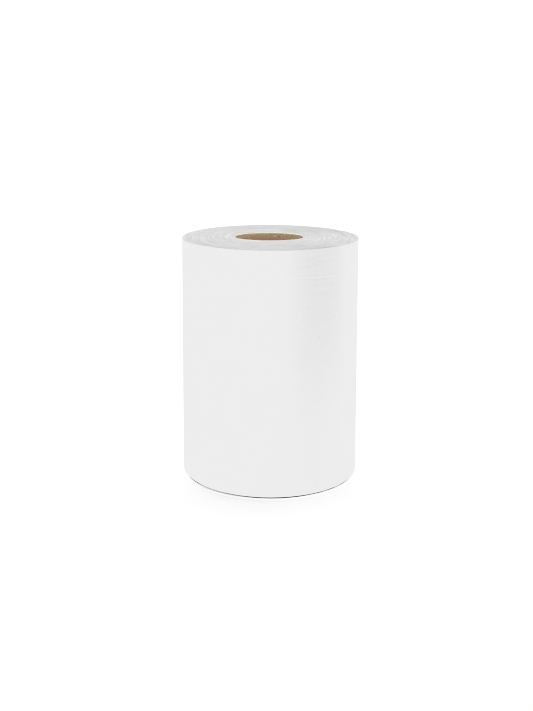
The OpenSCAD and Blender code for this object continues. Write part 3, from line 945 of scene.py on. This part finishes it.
def floor():
    n = 128
    th = np.linspace(0, 2 * math.pi, n, endpoint=False)
    rings = [0.02, 0.1, 0.3, 1.0, 4.0, 12.0]
    co = [(r * math.cos(a), r * math.sin(a), 0.0) for r in rings for a in th]
    faces = [(k * n + i, k * n + (i + 1) % n, (k + 1) * n + (i + 1) % n, (k + 1) * n + i)
             for k in range(len(rings) - 1) for i in range(n)]
    faces.append(tuple(range(n - 1, -1, -1)))
    me = bpy.data.meshes.new("floor")
    me.from_pydata(co, [], [f[::-1] if len(f) > 4 else f for f in faces])
    me.update()
    ob = bpy.data.objects.new("floor", me)
    bpy.context.scene.collection.objects.link(ob)
    t = Tree("floor_white")
    p = object_mm(t)
    s = t.add("SeparateXYZ", {0: p})
    x, y = s.outputs[0], s.outputs[1]
    r = t.math("SQRT", t.math("ADD", t.math("MULTIPLY", x, x), t.math("MULTIPLY", y, y)))
    # light that the floor sends up at the roll: even out to its edge, none from underneath
    xo = t.math("SUBTRACT", x, OFF_AXIS)
    ro = t.math("SQRT", t.math("ADD", t.math("MULTIPLY", xo, xo), t.math("MULTIPLY", y, y)))
    # painted shade: the floor's shade is made to show toward the front, mostly to the left, as under a key light from
    # behind on the right
    az = t.math("MULTIPLY", t.math("ARCTAN2", xo, t.math("MULTIPLY", y, -1.0)), 180 / math.pi)
    pos = t.math("DIVIDE", t.math("ADD", az, 180.0), 360.0)

    def around(stops):
        return t.ramp(pos, [((a + 180.0) / 360.0, (v,) * 3) for a, v in stops])
    # painted shadow: how much of the shaded floor shows under the roll's lower edge, round the roll
    gap = around([(-170, 0.50), (-118, 0.35), (-100, 0.08), (-90, 0.02), (-76, 0.05), (-71, 0.35), (-67, 0.90),
                  (-62, 1.0), (-55, 0.92), (-50, 0.58), (-41, 0.57), (-34, 0.51), (-28, 0.73), (-18, 0.77),
                  (-12, 0.97), (-5, 0.97), (1, 1.0), (20, 1.0), (27, 0.85), (34, 0.88), (38, 0.71), (45, 0.92),
                  (51, 0.55), (56, 0.95), (62, 0.97), (65, 0.60), (69, 0.20), (74, 0.04), (92, 0.04), (118, 0.35),
                  (170, 0.50)])
    shade = around([(-180, 0.25), (-115, 0.25), (-98, 0.0), (-84, 0.0), (-60, 0.25), (-45, 0.62), (-30, 0.93),
                    (-14, 1.0), (0, 0.98), (15, 0.74), (30, 0.63), (45, 0.52), (60, 0.26), (80, 0.0), (98, 0.0),
                    (115, 0.25)])
    # behind the roll only the floor right beside it is shaded
    behind = t.add("MapRange", {"Value": t.math("ABSOLUTE", xo), "From Min": 56.0, "From Max": 71.0, "To Min": 1.0,
                                "To Max": 0.0}, interpolation_type="SMOOTHSTEP").outputs[0]
    short = t.add("MapRange", {"Value": ro, "From Min": 76.0, "From Max": 96.0, "To Min": 1.0, "To Max": 0.0},
                  interpolation_type="SMOOTHSTEP").outputs[0]
    back = t.math("GREATER_THAN", t.math("ABSOLUTE", az), 91.0)
    keep = t.add("Mix", data_type="FLOAT")
    t.t.links.new(back, keep.inputs[0])
    keep.inputs[2].default_value = 1.0
    t.t.links.new(t.math("MULTIPLY", behind, short), keep.inputs[3])
    shade = t.math("MULTIPLY", shade, keep.outputs[0])
    # this uneven shade is the one seen from the front; from other sides the floor is shaded evenly all round
    inc = t.add("SeparateXYZ", {0: t.add("NewGeometry").outputs["Incoming"]})
    ix, iy = inc.outputs[0], inc.outputs[1]
    flat = t.math("SQRT", t.math("ADD", t.math("MULTIPLY", ix, ix), t.math("MULTIPLY", iy, iy)))
    front = t.add("MapRange", {"Value": t.math("DIVIDE", t.math("MULTIPLY", iy, -1.0), flat), "From Min": 0.85,
                               "From Max": 0.95, "To Min": 0.0, "To Max": 1.0}, interpolation_type="SMOOTHSTEP"
                  ).outputs[0]

    def from_front(even, uneven):
        n = t.add("Mix", data_type="FLOAT")
        t.t.links.new(front, n.inputs[0])
        n.inputs[2].default_value = even
        t.t.links.new(uneven, n.inputs[3])
        return n.outputs[0]
    gap = from_front(0.85, gap)
    shade = from_front(0.5, shade)
    rim = t.math("MULTIPLY_ADD", around([(a, (r0 - 70.0) / 10.0) for a, r0 in SHADOW_RIM]), 10.0, 70.0)
    out = t.math("SUBTRACT", ro, rim)
    under = t.math("LESS_THAN", out, 0.0)
    full = t.add("Mix", data_type="FLOAT")
    for k, v in zip((0, 2, 3), (under, shade, gap)):
        t.t.links.new(v, full.inputs[k])
    # painted light: a glow added to the shaded floor that grows outward from the roll, so its shade fades within a
    # few centimetres
    far_fill = [(76.5, 0.0), (79.0, 0.0003), (82.0, 0.0090), (85.0, 0.0195), (91.0, 0.0300), (97.0, 0.0350),
                (103.0, 0.0402), (109.0, 0.0452), (115.0, 0.0500), (126.0, 0.0550)]
    fill = t.ramp(t.math("DIVIDE", t.math("SUBTRACT", ro, 70.0), 60.0),
                  [((a - 70.0) / 60.0, (v * 10.0,) * 3) for a, v in far_fill])
    fill = t.math("MULTIPLY", fill, 0.1)
    # painted light and painted shadow: seen from the front the floor's colour is raised within about 3 mm outside the
    # rim, a bright halo by the contact line, and lowered a touch a little further out; under the roll it is painted
    # near black
    close = t.math("MULTIPLY", t.ramp(t.math("DIVIDE", out, 8.0), [
        (0.0, (1.0,) * 3), (0.40, (1.0,) * 3), (0.65, (0.878,) * 3), (0.90, (0.912,) * 3)]), 1.10)
    close = t.math("MULTIPLY", from_front(1.0, close), t.math("MULTIPLY_ADD", under, -0.92, 1.0))
    rgb = t.add("RGB")
    rgb.outputs[0].default_value = (FLOOR_ALBEDO, FLOOR_ALBEDO, FLOOR_ALBEDO * 1.004, 1)
    bare = t.add("BsdfDiffuse", {"Color": t.scaled(rgb.outputs[0], close)})
    lift = t.add("Emission", {"Color": (1, 1, 1, 1), "Strength": fill})
    shaded = t.add("AddShader", {0: bare.outputs[0], 1: lift.outputs[0]})
    lit = t.add("Emission", {"Color": (1, 1, 1, 1), "Strength": 1.03})
    seen = t.add("MixShader", {0: full.outputs[0], 1: lit.outputs[0], 2: shaded.outputs[0]})
    up = t.add("MapRange", {"Value": ro, "From Min": 73.2, "From Max": 74.4, "To Min": 0.03, "To Max": 1.0},
               interpolation_type="SMOOTHSTEP").outputs[0]
    far = t.ramp(t.math("DIVIDE", r, 1500.0), [(0.133, (0.18,) * 3), (0.213, (0.245,) * 3), (0.311, (0.47,) * 3),
                                               (0.427, (0.77,) * 3), (0.580, (0.95,) * 3), (0.720, (0.90,) * 3)])
    turn = t.ramp(t.math("DIVIDE", r, 1000.0), [(0.125, (0.42,) * 3), (0.27, (0.20,) * 3), (0.43, (0.09,) * 3),
                                                (0.59, (0.03,) * 3), (0.72, (0.0,) * 3)])
    turn = t.math("MULTIPLY", turn, 50.0)
    sheen = t.math("SUBTRACT", 1.0, t.math("MULTIPLY", dark_sector(t, x, y, turn), far))
    lp = t.add("LightPath")
    lev = t.add("Mix", data_type="FLOAT")
    t.t.links.new(lp.outputs["Is Glossy Ray"], lev.inputs[0])
    t.t.links.new(up, lev.inputs[2])
    t.t.links.new(sheen, lev.inputs[3])
    em = t.add("Emission", {"Color": (1, 1, 1, 1), "Strength": t.math("MULTIPLY", lev.outputs[0], SKY)})
    mx = t.add("MixShader", {0: lp.outputs["Is Camera Ray"], 1: em.outputs[0], 2: seen.outputs[0]})
    t.add("OutputMaterial", {"Surface": mx.outputs[0]})
    if hasattr(t.mat, "cycles"):
        t.mat.cycles.emission_sampling = "NONE"
    ob.data.materials.append(t.mat)
    ob.location = (0, 0, 0)
    return ob


ground = floor()


def world():
    w = bpy.data.worlds.new("studio")
    bpy.context.scene.world = w
    w.use_nodes = True
    nt = w.node_tree
    nt.nodes.clear()
    t = Tree.__new__(Tree)
    t.t = nt
    d = t.add("TexCoord").outputs["Generated"]
    s = t.add("SeparateXYZ", {0: d})
    up = t.add("MapRange", {"Value": s.outputs[2], "From Min": 0.2, "From Max": 1.0, "To Min": 1.0, "To Max": 0.90},
               interpolation_type="SMOOTHSTEP").outputs[0]
    side = t.math("MULTIPLY_ADD", s.outputs[0], 0.004, 1.0)
    lp = t.add("LightPath")
    low = t.add("MapRange", {"Value": s.outputs[2], "From Min": 0.50, "From Max": 0.70, "To Min": 1.0, "To Max": 0.0},
                interpolation_type="SMOOTHSTEP").outputs[0]
    dark = t.math("MULTIPLY", t.math("MULTIPLY", dark_sector(t, s.outputs[0], s.outputs[1]), low),
                  lp.outputs["Is Glossy Ray"])
    lev = t.math("MULTIPLY", t.math("MULTIPLY", up, side), SKY)
    lev = t.math("MULTIPLY", lev, t.math("SUBTRACT", 1.0, dark))
    seen = t.add("Background", {"Color": (1, 1, 1, 1), "Strength": 1.05})
    light = t.add("Background", {"Color": (1, 1, 1, 1), "Strength": lev})
    mx = t.add("MixShader", {0: lp.outputs["Is Camera Ray"], 1: light.outputs[0], 2: seen.outputs[0]})
    t.add("OutputWorld", {"Surface": mx.outputs[0]})
    if hasattr(w, "cycles"):
        w.cycles.sampling_method = "NONE"


world()
sc = bpy.context.scene
sc.view_settings.view_transform = "Standard"
sc.view_settings.look = "None"
sc.view_settings.exposure = 0.0
sc.view_settings.gamma = 1.0
sc.render.dither_intensity = 0.0
if hasattr(sc, "cycles"):
    sc.cycles.filter_width = 1.05       # a crisp lens

# ---------------------------------------------------------------------------
# Camera at the photograph's viewing angle. Image size is 533 x 711.
# ---------------------------------------------------------------------------
W_PX, H_PX = 533, 711
UNIT = 0.0735                       # radius of the roll, in metres
CAM_D, CAM_H, CAM_PITCH, CAM_F, CAM_CX, CAM_CY, CAM_ROLL = (
    12.55311, 1.85357, 0.162856, 1114.2355, 270.188833, 254.982102, 0.003525)
cam_data = bpy.data.cameras.new("camera")
cam = bpy.data.objects.new("camera", cam_data)
sc.collection.objects.link(cam)
cam_data.sensor_fit = "AUTO"
cam_data.sensor_width = 36.0
cam_data.lens = 36.0 * CAM_F / H_PX
cam_data.clip_start, cam_data.clip_end = 0.01, 50.0
fwd = Vector((0.0, math.cos(CAM_PITCH), -math.sin(CAM_PITCH)))
rt = Vector((1.0, 0.0, 0.0))
upv = rt.cross(fwd)
right = rt * math.cos(CAM_ROLL) + upv * math.sin(CAM_ROLL)
up2 = right.cross(fwd)
cam_loc = Vector((OFF_AXIS * MM, -CAM_D * UNIT, Z1 * MM + CAM_H * UNIT))
cam.matrix_world = Matrix((
    (right.x, up2.x, -fwd.x, cam_loc.x),
    (right.y, up2.y, -fwd.y, cam_loc.y),
    (right.z, up2.z, -fwd.z, cam_loc.z),
    (0, 0, 0, 1)))
SHIFT_X = (W_PX / 2 - CAM_CX) / H_PX
SHIFT_Y = (CAM_CY - H_PX / 2) / H_PX
# The lens shift belongs to this one viewpoint: from any other it is zero, so the object stays centred.
for prop, value in (("shift_x", SHIFT_X), ("shift_y", SHIFT_Y)):
    drv = cam_data.driver_add(prop).driver
    drv.type = "SCRIPTED"
    for axis in ("x", "y", "z"):
        v = drv.variables.new()
        v.name = axis
        v.type = "TRANSFORMS"
        v.targets[0].id = cam
        v.targets[0].transform_type = "LOC_" + axis.upper()
        v.targets[0].transform_space = "WORLD_SPACE"
    drv.expression = "%.6f if abs(x - %.6f) + abs(y - (%.6f)) + abs(z - %.6f) < 0.001 else 0.0" % (
        value, cam_loc.x, cam_loc.y, cam_loc.z)
sc.camera = cam
